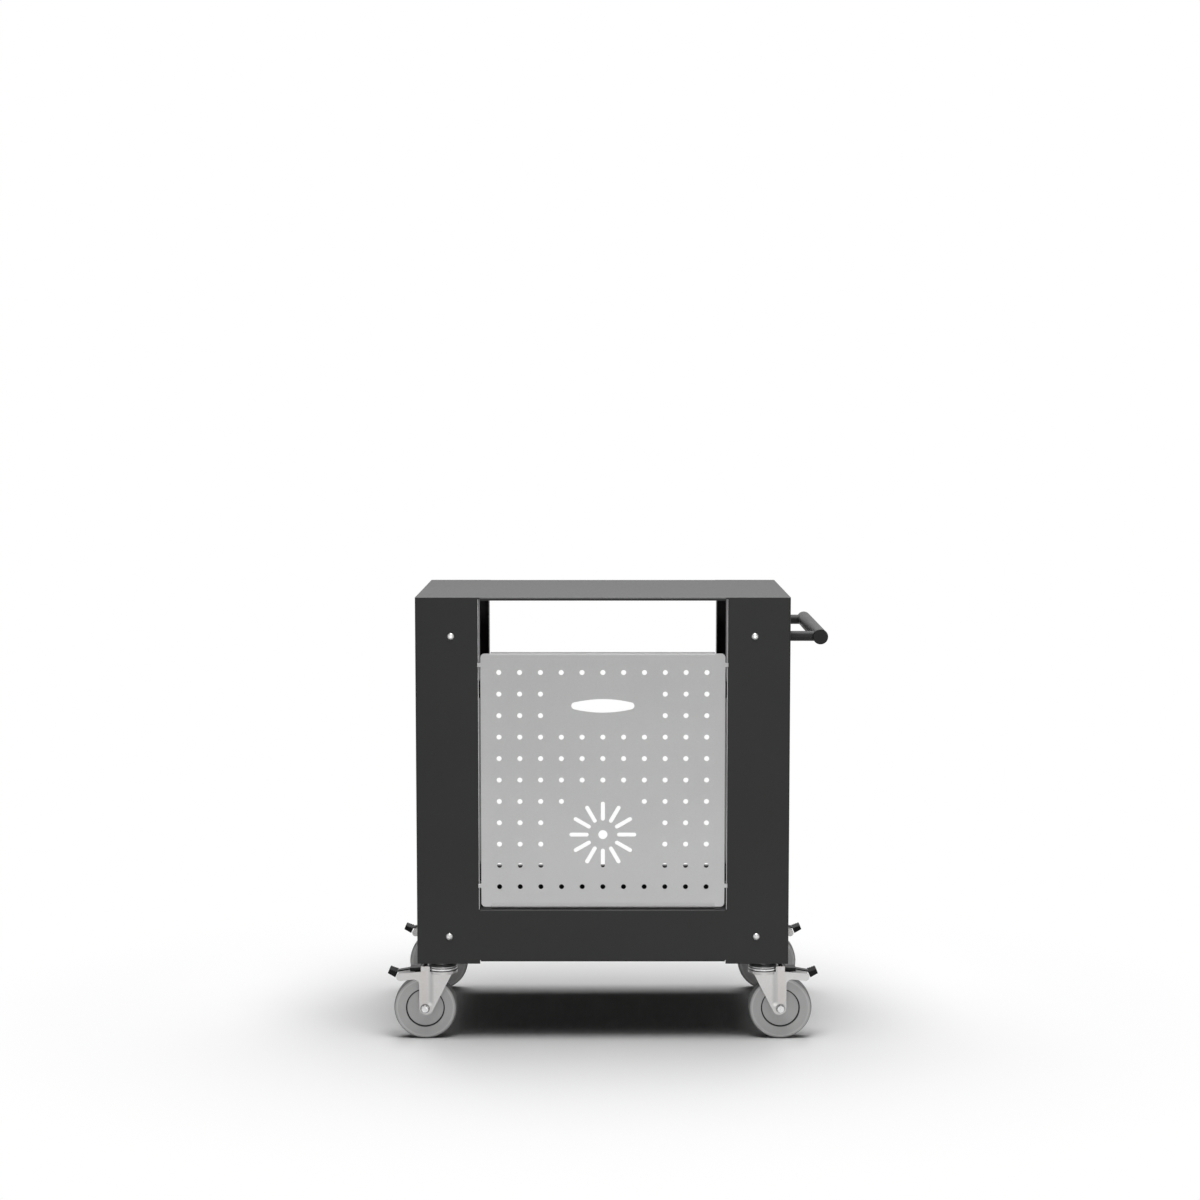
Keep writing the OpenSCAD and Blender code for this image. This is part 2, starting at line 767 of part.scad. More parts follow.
// Cap at the front end of the bar: a plug inside the tube and a disc with a round edge
module handle_cap() {
    plug_r = grip_r - grip_wall;
    color([0.1, 0.1, 0.1]) translate([grip_x, -grip_l / 2, grip_z]) rotate([-90, 0, 0]) rotate_extrude() {
        translate([0, cap_t]) square([plug_r, cap_plug]);
        translate([0, cap_edge_r]) square([grip_r, cap_t - cap_edge_r]);
        square([grip_r - cap_edge_r, cap_t]);
        translate([grip_r - cap_edge_r, cap_edge_r]) rotate(-90) fold(cap_edge_r, cap_edge_r);
    }
}

module handle_cap_front() {
    handle_cap();
}

module handle_cap_rear() {
    mirror([0, 1, 0]) handle_cap();
}

module handle_screws() {
    color([0.78, 0.78, 0.8]) for (y = [-arm_y, arm_y])
        translate([side_x - side_t, y, grip_z]) rotate([0, 90, 0])
            button_screw(side_t + arm_screw_l - thread_out);
}

// Oval of length l and height h with end radius r: two wide arcs meet two small ones smoothly
module oval(l, h, r) {
    end_x = l / 2 - r;
    rise = h / 2;
    wide_r = (end_x * end_x + rise * rise - r * r) / (2 * (rise - r));
    join_x = end_x * wide_r / (wide_r - r);
    intersection() {
        translate([0, rise - wide_r]) circle(r = wide_r, $fn = 256);
        translate([0, wide_r - rise]) circle(r = wide_r, $fn = 256);
        square([2 * join_x, h + over], center = true);
    }
    for (side = [-1, 1]) translate([side * end_x, 0]) circle(r = r);
}

// Round vent: radial slots with round ends about a middle hole
module vent() {
    end_r = vent_slot_w / 2;
    circle(r = vent_hole_r);
    for (i = [1 : vent_count]) rotate(i * 360 / vent_count) {
        translate([vent_in_r + end_r, -end_r]) square([vent_r - vent_in_r - vent_slot_w, vent_slot_w]);
        translate([vent_in_r + end_r, 0]) circle(r = end_r);
        translate([vent_r - end_r, 0]) circle(r = end_r);
    }
}

// A hole is left out where it would run into the hand slot or the vent
function hole_free(x, z) =
    (abs(x) > slot_l / 2 + slot_border_x || abs(z - slot_z) > slot_h / 2 + slot_border_z)
    && norm([x, z - vent_z]) > vent_clear_r;

// All openings of the front panel, drawn in x and z
module panel_openings() {
    for (column = [-hole_columns : hole_columns], row = [0 : hole_rows]) {
        x = column * hole_pitch_x;
        z = panel_z1 - hole_drop - row * hole_pitch_z;
        if (hole_free(x, z)) translate([x, z]) circle(d = hole_d);
    }
    translate([0, slot_z]) oval(slot_l, slot_h, slot_end_r);
    translate([0, vent_z]) vent();
}

module front_panel() {
    ear_h = panel_h - ear_drop - ear_rise;
    ear_mid = panel_z0 + ear_rise + ear_h / 2;
    tab_l = panel_gap + tab_reach;
    color([0.68, 0.68, 0.69]) difference() {
        union() {
            along_x(2 * fold_half) translate([-half_d, panel_z0])
                folded_up(panel_h, panel_flange, panel_flange, panel_t, panel_fold_r, panel_top_r);
            translate([0, -half_d + panel_t / 2, 0]) along_y(panel_t) difference() {
                translate([0, ear_mid]) round_rect(2 * panel_half, ear_h, ear_r);
                for (cut = [[panel_z0, panel_fold_r], [panel_z1, panel_top_r]])
                    translate([0, cut[0]]) square([2 * fold_half, 2 * cut[1]], center = true);
            }
            for (side = [-1, 1], z = tab_z)
                translate([side * (panel_half + (tab_l - over) / 2), -half_d + panel_t / 2, z])
                    cube([tab_l + over, panel_t, tab_h], center = true);
        }
        translate([0, -half_d + panel_t / 2, 0]) along_y(panel_t + 2 * over) panel_openings();
    }
}

// Magnetic catches on the inner edges of the front legs, behind the panel
module panel_catches() {
    color([0.1, 0.1, 0.11]) for (side = [-1, 1], z = catch_z)
        translate([side * (door_half - catch_w / 2), -half_d + panel_t + catch_gap, z])
            rotate([-90, 0, 0]) linear_extrude(catch_d) round_rect(catch_w, catch_h, catch_edge_r);
}

// Swivel head: a pressed cap with a groove for the balls, fixed to the rail by the king pin
module caster_head() {
    groove_r = ball_d / 2 + ball_gap;
    groove_z = ball_z + ball_d / 2 + ball_gap / 2;
    shoulder = (head_r - plateau_r) / 3;
    color([0.78, 0.78, 0.79]) rotate_extrude() difference() {
        polygon([
            [pin_r, head_z0], [head_r, head_z0], [head_r, head_z0 + rim_h],
            [head_r - shoulder, foot_z - plateau_h], [plateau_r, foot_z - plateau_h],
            [plateau_r, foot_z], [pin_r, foot_z]
        ]);
        translate([ball_ring_r - groove_r, head_z0 - over])
            square([2 * groove_r, groove_z - head_z0 + over]);
    }
}

// King pin: lower flange, shank through crown and head, and the threaded stem through the rail
module king_pin() {
    flange_z1 = crown_z0 - pin_flange_gap;
    color([0.72, 0.72, 0.74]) {
        translate([0, 0, flange_z1 - pin_flange_t]) cylinder(h = pin_flange_t, r = pin_flange_r);
        translate([0, 0, flange_z1]) cylinder(h = foot_z - flange_z1, r = pin_r);
        translate([0, 0, foot_z]) cylinder(h = stem_top - foot_z, r = stem_r);
    }
}

// Touching point of the tangent from point p to a circle, on the circle's left or right side
function tangent_point(p, centre, r, side) =
    let (
        reach = norm(centre - p),
        along = atan2(centre[1] - p[1], centre[0] - p[0]) + side * asin(r / reach)
    )
    p + sqrt(reach * reach - r * r) * [cos(along), sin(along)];

// Side view of a cheek: a tapered blade down to the axle, an arm over the tyre and an ear
module cheek_outline() {
    top = crown_z1 - cheek_t / 2;
    back = [-cheek_back, top];
    end = [trail - cheek_end_shift, wheel_r + cheek_end_rise];
    blade = tangent_point(back, end, cheek_end_r, -1);
    edge_x = end[0] + cheek_end_r;
    armpit_z = crown_z1 - armpit_drop;
    lobe = [trail + lobe_reach, crown_z1 - lobe_drop];
    polygon([
        back, blade, end, [edge_x, end[1]], [edge_x, armpit_z - armpit_r], [edge_x, armpit_z],
        [edge_x + armpit_r, armpit_z], [lobe[0], lobe[1] - lobe_r], [lobe[0], lobe[1] + lobe_r],
        [edge_x, top]
    ]);
    translate(end) circle(r = cheek_end_r);
    translate(lobe) circle(r = lobe_r);
    difference() {
        translate([edge_x, armpit_z - armpit_r]) square(armpit_r);
        translate([edge_x + armpit_r, armpit_z - armpit_r]) circle(r = armpit_r);
    }
    lug_w = lug_in + lug_out;
    translate([pivot_x + (lug_out - lug_in) / 2, pivot_z + lug_rise - lug_r]) {
        square([lug_w - 2 * lug_r, 2 * lug_r], center = true);
        for (side = [-1, 1]) translate([side * (lug_w / 2 - lug_r), 0]) circle(r = lug_r);
    }
    translate([pivot_x - lug_in, top - cheek_t])
        square([lug_w, pivot_z + lug_rise - lug_r - top + cheek_t]);
}

module caster_fork() {
    color([0.76, 0.76, 0.77]) {
        difference() {
            union() {
                translate([0, 0, crown_z0]) cylinder(h = crown_t, r = crown_r);
                for (side = [-1, 1]) translate([0, side * (cheek_y + cheek_t / 2), 0])
                    along_y(cheek_t) cheek_outline();
            }
            translate([0, 0, crown_z0 - over]) cylinder(h = crown_t + 2 * over, r = pin_r + run_gap);
            translate([trail, 0, wheel_r]) bar_y(axle_end_r + run_gap, -cheek_out - over, cheek_out + over);
            translate([pivot_x, 0, pivot_z]) bar_y(brake_pin_r + run_gap, -cheek_out - over, cheek_out + over);
        }
    }
}

// Shoulder bolt with its nut: flange and hexagon on one cheek, nut on the other
module axle_bolt() {
    color([0.8, 0.8, 0.82]) translate([trail, 0, wheel_r]) {
        bar_y(axle_r, -cheek_y, cheek_y);
        bar_y(axle_end_r, -cheek_out, cheek_out + nut_t + thread_out);
        bar_y(axle_flange_r, -cheek_out - axle_flange_t, -cheek_out);
        translate([0, -cheek_out - axle_flange_t, 0]) rotate([90, 0, 0]) hexagon(nut_af, axle_head_h);
        translate([0, cheek_out, 0]) rotate([-90, 0, 0]) nut(nut_af, nut_t, axle_end_r);
    }
}

// Half of the tyre's section, r along x and the wheel's width along y
module tyre_section() {
    tread = wheel_r - shoulder_r;
    side = tyre_w / 2 - shoulder_r;
    difference() {
        union() {
            translate([hub_r, -tyre_w / 2]) square([tread - hub_r, tyre_w]);
            translate([hub_r, -side]) square([wheel_r - hub_r, 2 * side]);
            for (y = [-side, side]) translate([tread, y]) circle(r = shoulder_r);
        }
        for (y = [-1, 1]) translate([hub_r, y * tyre_w / 2]) square([ring_w, 2 * ring_d], center = true);
    }
}

module caster_tyre() {
    color([0.58, 0.58, 0.59]) translate([trail, 0, wheel_r]) rotate([90, 0, 0])
        rotate_extrude($fn = 128) tyre_section();
}

module caster_hub() {
    disc = tyre_w / 2 - hub_recess;
    boss = cheek_y - boss_gap;
    bore = axle_r + run_gap;
    color([0.6, 0.6, 0.61]) translate([trail, 0, wheel_r]) rotate([90, 0, 0])
        rotate_extrude($fn = 128) difference() {
            union() {
                translate([bore, -disc]) square([hub_r - bore, 2 * disc]);
                translate([bore, -boss]) square([boss_r - bore, 2 * boss]);
            }
            for (y = [-1, 1]) translate([hub_r, y * tyre_w / 2])
                square([ring_w, 2 * ring_d], center = true);
        }
}

module brake_pin() {
    reach = cheek_out + brake_pin_head_t;
    color([0.5, 0.5, 0.52]) translate([pivot_x, 0, pivot_z]) {
        bar_y(brake_pin_r, -cheek_out, cheek_out);
        bar_y(brake_pin_head_r, -reach, -cheek_out);
        bar_y(brake_pin_head_r, cheek_out, reach);
    }
}

// Steel arm of the brake lever, from inside the block to inside the pedal, grown by a clearance
module lever_arm(gap) {
    start = [pivot_x + block_out + block_l, pivot_z - block_drop - block_h / 2];
    translate([start[0], 0, start[1]]) rotate([0, lever_slope, 0])
        cube([2 * (lever_l + gap), lever_w + 2 * gap, lever_t + 2 * gap], center = true);
}

// Brake lever: barrel on the pin, block with the shoe below it, and the steel arm
module brake_lever() {
    block_x = pivot_x + block_out;
    block_z1 = pivot_z - block_drop;
    shoe_z0 = wheel_d + shoe_gap;
    barrel_half = cheek_y - barrel_gap;
    color([0.12, 0.12, 0.13]) difference() {
        union() {
            translate([pivot_x, 0, pivot_z]) bar_y(barrel_r, -barrel_half, barrel_half);
            translate([pivot_x, -block_w / 2, block_z1 - block_h])
                cube([block_out, block_w, block_h + block_drop]);
            translate([block_x, -block_w / 2, block_z1 - block_h]) cube([block_l, block_w, block_h]);
            translate([block_x, -shoe_w / 2, shoe_z0]) cube([shoe_l, shoe_w, block_z1 - block_h / 2 - shoe_z0]);
            intersection() {
                lever_arm(0);
                translate([block_x, -block_w, 0]) cube([2 * lever_l + block_l, 2 * block_w, crown_z1 * 2]);
            }
        }
        translate([pivot_x, 0, pivot_z])
            bar_y(brake_pin_r + run_gap, -barrel_half - over, barrel_half + over);
    }
}

// Ribbed pedal pushed over the end of the lever's arm
module brake_pedal() {
    end_z = pivot_z - block_drop - block_h / 2 - lever_l * sin(lever_slope);
    rib_step = pedal_l / rib_count;
    wedge = atan((pedal_t - pedal_tip_t) / 2 / pedal_l);
    color([0.07, 0.07, 0.07]) difference() {
        translate([pedal_mid_x, 0, end_z]) rotate([0, -pedal_tilt, 0]) {
            along_y(pedal_w) polygon([
                [-pedal_l / 2, -pedal_t / 2], [pedal_l / 2, -pedal_tip_t / 2],
                [pedal_l / 2, pedal_tip_t / 2], [-pedal_l / 2, pedal_t / 2]
            ]);
            translate([0, 0, (pedal_t + pedal_tip_t) / 4]) rotate([0, wedge, 0])
                for (i = [0.5 : rib_count - 0.5])
                    translate([i * rib_step - pedal_l / 2 - rib_step / 4, -pedal_w / 2 + rib_h, -rib_h])
                        cube([rib_step / 2, pedal_w - 2 * rib_h, 2 * rib_h]);
        }
        lever_arm(run_gap);
    }
}

translate([-middle_x, 0, 0]) {
    front_frame();
    rear_frame();
    left_side_panel();
    right_side_panel();
    left_foot_rail();
    right_foot_rail();
    lower_shelf();
    worktop();
    worktop_stiffener();
    frame_screws();
    frame_nuts();
    worktop_nuts();
    caster_washers();
    caster_nuts();
    caster_balls();
    handle_bar();
    handle_arm_front();
    handle_arm_rear();
    handle_cap_front();
    handle_cap_rear();
    handle_screws();
    front_panel();
    panel_catches();
    for (corner = CORNERS) at_corner(corner) {
        caster_head();
        king_pin();
        caster_fork();
        axle_bolt();
        caster_hub();
        caster_tyre();
        brake_pin();
        brake_lever();
        brake_pedal();
    }
}
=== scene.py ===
import math

import bpy
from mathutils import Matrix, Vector


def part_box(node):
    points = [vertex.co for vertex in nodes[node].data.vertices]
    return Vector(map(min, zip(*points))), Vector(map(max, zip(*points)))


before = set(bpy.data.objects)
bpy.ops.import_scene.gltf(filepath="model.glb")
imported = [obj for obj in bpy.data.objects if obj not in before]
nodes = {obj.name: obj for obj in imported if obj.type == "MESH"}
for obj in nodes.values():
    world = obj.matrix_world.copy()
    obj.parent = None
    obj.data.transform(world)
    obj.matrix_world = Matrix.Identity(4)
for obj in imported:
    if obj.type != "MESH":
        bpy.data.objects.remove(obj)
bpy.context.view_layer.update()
corners = ["front_left", "front_right", "rear_left", "rear_right"]
tableX = (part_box("worktop")[0].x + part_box("worktop")[1].x) / 2  # middle of the table, beside the origin
print("frame loaded:", len(nodes), "nodes")


class Signal:
    # one shader value, so that sums and products of textures read as plain maths
    def __init__(self, bench, socket):
        self.bench = bench
        self.socket = socket

    def math(self, operation, first, second=0.0):
        made = self.bench.add("ShaderNodeMath", {"operation": operation}, {0: first, 1: second})
        return Signal(self.bench, made.outputs[0])

    def __add__(self, other):
        return self.math("ADD", self, other)

    def __sub__(self, other):
        return self.math("SUBTRACT", self, other)

    def __mul__(self, other):
        return self.math("MULTIPLY", self, other)

    def __rsub__(self, other):
        return self.math("SUBTRACT", other, self)

    __radd__ = __add__
    __rmul__ = __mul__

    def above(self, limit):
        return self.math("GREATER_THAN", self, limit)

    def root(self):
        return self.math("SQRT", self)

    def size(self):
        return self.math("ABSOLUTE", self)


class NodeBench:
    # adds nodes to one tree: settings first, then the values or links of the sockets
    def __init__(self, tree):
        self.tree = tree

    def link(self, socket, value):
        if isinstance(value, Signal):
            value = value.socket
        if isinstance(value, bpy.types.NodeSocket):
            self.tree.links.new(value, socket)
        else:
            socket.default_value = value

    def add(self, kind, settings=None, sockets=None):
        made = self.tree.nodes.new(kind)
        for key, value in (settings or {}).items():
            setattr(made, key, value)
        for key, value in (sockets or {}).items():
            self.link(made.inputs[key], value)
        return made

    def smooth(self, value, low, high, start=0.0, end=1.0):
        made = self.add("ShaderNodeMapRange", {"interpolation_type": "SMOOTHSTEP"}, {
            "Value": value, "From Min": low, "From Max": high, "To Min": start, "To Max": end})
        return Signal(self, made.outputs[0])

    def sightRays(self):
        # 1 for rays from the camera and for those that reach the eye through gloss or glass
        path = self.add("ShaderNodeLightPath")
        seen = Signal(self, path.outputs["Is Camera Ray"])
        for name in ("Is Glossy Ray", "Is Transmission Ray"):
            seen = seen.math("MAXIMUM", seen, Signal(self, path.outputs[name]))
        scattered = Signal(self, path.outputs["Diffuse Depth"]).above(0.5)  # one bounce or more
        return seen * (1 - scattered)


class Finish(NodeBench):
    # one material, built on the Principled shader
    def __init__(self, name, **settings):
        self.material = bpy.data.materials.new(name)
        self.material.use_nodes = True
        super().__init__(self.material.node_tree)
        self.shader = self.tree.nodes["Principled BSDF"]
        self.coords = self.tree.nodes.new("ShaderNodeTexCoord").outputs["Object"]
        for socket, value in settings.items():
            self.set(socket.replace("_", " "), value)

    def set(self, socket, value):
        self.link(self.shader.inputs[socket], value)

    def placed(self, centre=(0, 0, 0), scale=(1, 1, 1)):
        # object coordinates measured from a chosen centre
        moved = self.add("ShaderNodeMapping", {}, {
            "Vector": self.coords, "Scale": scale,
            "Location": [-c * s for c, s in zip(centre, scale)]})
        return moved.outputs[0]

    def noise(self, scale, detail=2.0, rough=0.5, where=None):
        made = self.add("ShaderNodeTexNoise", {}, {
            "Vector": where or self.coords, "Scale": scale, "Detail": detail, "Roughness": rough})
        return Signal(self, made.outputs["Fac"])

    def cells(self, scale):
        made = self.add("ShaderNodeTexVoronoi", {}, {"Vector": self.coords, "Scale": scale})
        return Signal(self, made.outputs["Distance"])

    def axes(self, where=None):
        made = self.add("ShaderNodeSeparateXYZ", {}, {0: where or self.coords})
        return [Signal(self, output) for output in made.outputs]

    def colour(self, amount, low, high):
        # from the low colour, or the colours made so far, to the high one
        made = self.add("ShaderNodeMix", {"data_type": "RGBA"}, {0: amount, 6: low, 7: high})
        return made.outputs[2]

    def bump(self, height, look, under=None):
        # look: strength, and height of the relief in metres
        made = self.add("ShaderNodeBump", {}, {
            "Height": height, "Strength": look[0], "Distance": look[1]})
        if under is not None:
            self.link(made.inputs["Normal"], under)
        return made.outputs[0]


def grey(tone, warm=0.0):
    return (tone * (1 + warm), tone, tone * (1 - warm), 1.0)


# Below, a noise is given by its scale, detail and roughness, a bump by its strength and height,
# an edge by where it begins and where it is full. A share says how much a pattern shows, and
# dull how much it adds to the roughness.
powderSkin = {
    "grain": 1500.0,  # powder grain per metre
    "grainBump": (0.16, 0.00018),
    "peel": (260.0, 2.0),  # slow waves of the coat
    "peelShare": 0.3,
    "peelDull": 0.08,
    "peelBump": (0.12, 0.0004),
    "cloud": (5.5, 3.0, 0.6),  # broad patches
    "cloudShare": 0.5,
    "speck": (620.0, 1.0),
    "speckFrom": 0.69,  # only the peaks of that noise are specks
    "speckShare": 0.12,
    "speckDull": 0.1,
    "ior": 1.5,
}
frameLook = {
    "tone": 0.022,  # charcoal
    "spread": 0.28,  # how far the tone varies to either side
    "roughness": 0.41,
    "gloss": 0.235,
    "paintedBounce": (0.5, 0.15, 0.5),  # heights where the painted floor-bounce light begins and is full, and how much it shows
}
panelLook = {"tone": 0.665, "spread": 0.13, "roughness": 0.37, "gloss": 0.5, "paintedBounce": (0.8, 0.27, 0.6)}
leverLook = {"tone": 0.008, "spread": 0.15, "roughness": 0.33, "gloss": 0.16, "paintedBounce": (0.5, 0.15, 0.5)}


def powderCoat(name, look, edgeHighlight=None):
    coat = Finish(name, Metallic=0.0, IOR=powderSkin["ior"], Specular_IOR_Level=look["gloss"])
    grain = coat.cells(powderSkin["grain"])
    peel = coat.noise(*powderSkin["peel"])
    cloud = coat.noise(*powderSkin["cloud"])
    speck = coat.noise(*powderSkin["speck"]).above(powderSkin["speckFrom"])
    bounceFrom, bounceFull, bounceShare = look["paintedBounce"]
    # painted light: the coat turns paler towards the bottom, standing in for light thrown up from the floor
    paintedBounce = coat.smooth(coat.axes()[2], bounceFrom, bounceFull, 0.0, bounceShare)
    mix = cloud * powderSkin["cloudShare"] + peel * powderSkin["peelShare"]
    mix = mix + speck * powderSkin["speckShare"] + paintedBounce
    tone, spread = look["tone"], look["spread"]
    paint = coat.colour(mix, grey(tone * (1 - spread)), grey(tone * (1 + spread)))
    # an optional painted highlight is mixed into the coat's colour here
    if edgeHighlight is not None:
        paint = edgeHighlight(coat, cloud, paint)
    coat.set("Base Color", paint)
    dull = look["roughness"] + peel * powderSkin["peelDull"] + speck * powderSkin["speckDull"]
    coat.set("Roughness", dull)
    wave = coat.bump(peel, powderSkin["peelBump"])
    coat.set("Normal", coat.bump(grain, powderSkin["grainBump"], wave))
    return coat.material


edgeHighlightLook = {
    "inside": 0.2435,  # from the table's middle to the flank of a leg, metres
    "legLine": (0.0022, 0.0014),  # width of the painted highlight on the fold, and of its brightest part
    "depth": 0.0012,  # how far it runs round the fold
    "barTop": 0.2655,  # height of the lower bar's upper edge
    "barLine": (-0.0032, -0.0012),  # the bar's line, measured from that edge
    "barEnd": 0.001,  # where the bar's line stops above it
    "barShare": 0.1,  # the bar's edge gets a weaker painted highlight than the legs
    "tone": 0.95,
    "cloudShare": 0.5,  # the patches break the line up a little
    "leastShare": 0.75,
}


def paintedEdgeHighlights(coat, cloud, paint):
    # painted highlight along the folds round the front opening, and a weaker one on the lower bar's upper
    # edge
    inside = edgeHighlightLook["inside"]
    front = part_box("front_frame")[0].y
    x, y, z = coat.axes(coat.placed((tableX, front, edgeHighlightLook["barTop"])))
    legLine, barLine = edgeHighlightLook["legLine"], edgeHighlightLook["barLine"]
    side = coat.smooth(x.size(), inside + legLine[0], inside + legLine[1])
    sill = coat.smooth(z, *barLine) * (1 - z.above(edgeHighlightLook["barEnd"]))
    sill = sill * (1 - x.size().above(inside)) * edgeHighlightLook["barShare"]
    highlightMask = (side * z.above(0.0) + sill) * (1 - y.above(edgeHighlightLook["depth"]))
    highlightMask = highlightMask * (cloud * edgeHighlightLook["cloudShare"] + edgeHighlightLook["leastShare"])
    # painted highlight: the masked lines are mixed towards a near-white tone
    return coat.colour(highlightMask, paint, grey(edgeHighlightLook["tone"]))


zincSkin = {
    "cloud": (34.0, 3.0, 0.6),
    "cloudDull": 0.06,
    "cloudHeight": 0.4,  # beside the grain's height of 1
    "grain": (60.0, 2.0, 0.5),
    "grainShare": 0.35,
    "grainDull": 0.1,
    "spangle": 240.0,  # crystals of the plating per metre
    "spangleShare": 0.3,
    "bump": (0.08, 0.0004),
}
plateLook = {
    "cloudShare": 0.45,
    "dark": (0.86, 0.012),  # share of the tone and warmth in the darkest places
    "pale": (1.1, 0.004),
}
nutLook = {**plateLook, "tone": 0.5, "roughness": 0.28, "streak": (1, 1, 9)}
screwLook = {**plateLook, "tone": 0.6, "roughness": 0.24, "streak": (8, 8, 1)}
# the balls are dark: grease, and painted shade for the race gap between head and crown
ballLook = {**plateLook, "tone": 0.1, "roughness": 0.24, "streak": (1, 1, 1)}


def zincPattern(steel, look):
    # patches, drawn-out grain and spangle of a plated sheet: patches, colour, roughness, relief
    cloud = steel.noise(*zincSkin["cloud"])
    grain = steel.noise(*zincSkin["grain"], steel.placed(scale=look["streak"]))
    mix = cloud * look["cloudShare"] + grain * zincSkin["grainShare"]
    mix = mix + steel.cells(zincSkin["spangle"]) * zincSkin["spangleShare"]
    dark, pale = [grey(look["tone"] * share, warm) for share, warm in (look["dark"], look["pale"])]
    dull = look["roughness"] + grain * zincSkin["grainDull"] + cloud * zincSkin["cloudDull"]
    relief = grain + cloud * zincSkin["cloudHeight"]
    return cloud, steel.colour(mix, dark, pale), dull, relief


def platedSteel(name, look):
    steel = Finish(name, Metallic=1.0)
    _, plate, dull, relief = zincPattern(steel, look)
    steel.set("Base Color", plate)
    steel.set("Roughness", dull)
    steel.set("Normal", steel.bump(relief, zincSkin["bump"]))
    return steel.material


forkLook = {
    "tone": 0.5,
    "roughness": 0.28,
    "streak": (1, 1, 9),
    "cloudShare": 0.5,
    "dark": (0.86, 0.02),
    "pale": (1.08, 0.006),
    "creaseAt": 0.011,  # from the axle towards the table's middle
    "creaseWidth": 0.0075,
    "creaseEdge": (0.004, 0.014),  # heights above the axle
    "creaseShadeTone": 0.36,
    "creaseShare": 0.75,
    "creaseBump": (0.6, 0.0012),
    "stainOut": 0.013,  # from the crease, away from the table's middle
    "stainEdge": (0.012, 0.002),
    "stainRise": (0.0, 0.02),
    "stainLeast": 0.3,
    "stainShare": 0.35,
    "stainColour": (0.46, 0.39, 0.36, 1.0),
    "flangeR": 0.0085,  # radius of the bolt's flange, with painted shade round it
    "shadeEdge": (0.0013, 0.0003),
    "shadeTone": 0.07,
    "shadeShare": 0.8,
    "shadeDull": 0.2,
}


def forkZinc(corner, axle, inward):
    steel = Finish(corner + "_forkZinc", Metallic=1.0)
    x, _, z = steel.axes(steel.placed(axle))
    cloud, plate, dull, relief = zincPattern(steel, forkLook)
    # a shallow pressed groove runs down to the axle, painted darker as shade, with a faint stain along its
    # outer side
    off = x * inward - forkLook["creaseAt"]
    groove = steel.smooth(off.size(), forkLook["creaseWidth"], 0.0)
    groove = groove * steel.smooth(z, *forkLook["creaseEdge"])
    stain = steel.smooth((off + forkLook["stainOut"]).size(), *forkLook["stainEdge"])
    stain = stain * steel.smooth(z, *forkLook["stainRise"]) * (cloud + forkLook["stainLeast"])
    # painted shade: the groove's colour is darkened beside its bump
    plate = steel.colour(groove * forkLook["creaseShare"], plate, grey(forkLook["creaseShadeTone"]))
    plate = steel.colour(stain * forkLook["stainShare"], plate, forkLook["stainColour"])
    far = (x * x + z * z).root()
    # painted shade: a dark ring on the fork round the bolt's flange
    paintedShade = steel.smooth((far - forkLook["flangeR"]).size(), *forkLook["shadeEdge"])
    plate = steel.colour(paintedShade * forkLook["shadeShare"], plate, grey(forkLook["shadeTone"]))
    steel.set("Base Color", plate)
    steel.set("Roughness", dull + paintedShade * forkLook["shadeDull"])
    press = steel.bump(groove * -1.0, forkLook["creaseBump"])
    steel.set("Normal", steel.bump(relief, zincSkin["bump"], press))
    return steel.material


boltLook = {
    "tone": 0.72,
    "dark": 0.85,  # shares of the tone
    "pale": 1.1,
    "roughness": 0.24,
    "cloud": (140.0, 3.0, 0.6),
    "cloudDull": 0.1,
    "cloudBump": (0.1, 0.0003),
    "cornerR": 0.0074,  # radius of the corner between hexagon and flange, with painted shade in it
    "shadeEdge": (0.001, 0.0004),
    "shadeTone": 0.1,
    "shadeShare": 0.85,
    "shadeDull": 0.2,
}


def boltSteel(corner, axle):
    # bright hexagon on its flange
    steel = Finish(corner + "_boltSteel", Metallic=1.0)
    x, _, z = steel.axes(steel.placed(axle))
    far = (x * x + z * z).root()
    cloud = steel.noise(*boltLook["cloud"])
    # painted shade: a dark ring in the corner between hexagon and flange
    paintedShade = steel.smooth((far - boltLook["cornerR"]).size(), *boltLook["shadeEdge"])
    dark, pale = [grey(boltLook["tone"] * boltLook[end]) for end in ("dark", "pale")]
    plate = steel.colour(cloud, dark, pale)
    plate = steel.colour(paintedShade * boltLook["shadeShare"], plate, grey(boltLook["shadeTone"]))
    steel.set("Base Color", plate)
    dull = boltLook["roughness"] + cloud * boltLook["cloudDull"] + paintedShade * boltLook["shadeDull"]
    steel.set("Roughness", dull)
    steel.set("Normal", steel.bump(cloud, boltLook["cloudBump"]))
    return steel.material


headLook = {
    "tone": 0.46,
    "dark": (0.75, 0.01),
    "pale": (1.25, 0.0),
    "roughness": 0.27,
    "cloud": (60.0, 3.0, 0.6),
    "cloudShare": 0.6,
    "grain": (90.0, 2.0, 0.5),
    "grainShare": 0.4,
    "grainDull": 0.12,
    "grainBump": (0.1, 0.0003),
    "streak": (1, 1, 7),
    "rims": (0.0012, 0.0148),  # heights of the rolled rims above the head's lower edge, painted bright as highlights
    "rimEdge": (0.0016, 0.0003),
    "rimHighlightTone": 0.8,
    "rimLeast": 0.6,
    "seamAt": 0.0042,  # height of the groove between its two sheets, painted dark as shade
    "seamEdge": (0.0012, 0.0003),
    "seamShadeTone": 0.04,
    "seamShare": 0.85,
    "seamDull": 0.2,
    "seamBump": (0.8, 0.0008),
}


